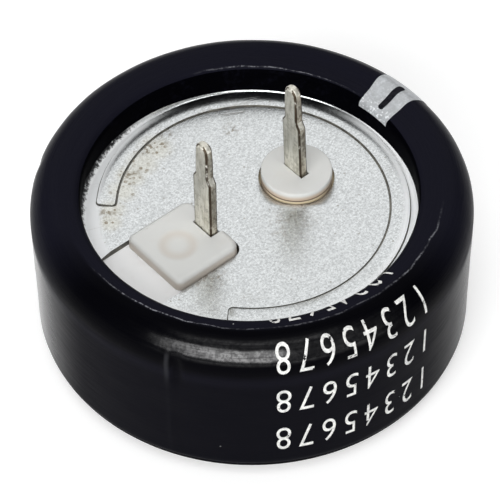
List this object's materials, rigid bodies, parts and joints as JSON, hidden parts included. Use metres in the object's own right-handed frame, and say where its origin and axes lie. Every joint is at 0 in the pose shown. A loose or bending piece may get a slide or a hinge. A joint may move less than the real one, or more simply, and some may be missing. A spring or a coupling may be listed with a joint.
{
  "type": "coin-type supercapacitor",
  "caption": "Squat round energy-storage can in a dark shrunk sleeve, with a recessed metal end plate, white insulators and flat board pins standing up from it.",
  "frame": {"origin": "centre of the resting face, on the axis of the can", "axes": "+Z along the axis of the can towards the pin tips; +X along the row of pins, from the pin bent out of the outer plate to the pin in the round bush"},
  "size_m": [0.019, 0.019, 0.0121],
  "materials": {
    "sleeve": "glossy shrunk film",
    "case": "nickel-plated, drawn",
    "outer_terminal": "tinned, matt, slightly stained",
    "collar": "moulded, satin",
    "inner_terminal": "tinned, dulled",
    "liner": "clear-grey film",
    "cell": "plain stainless"
  },
  "bodies": {
    "root": {"sleeve": "sleeve", "case": "case", "outer_terminal_plate": "outer_terminal", "insulating_collar": "collar", "inner_terminal_plate": "inner_terminal", "case_liner": "liner", "cell_lower": "cell", "cell_upper": "cell"}
  },
  "joints": []
}
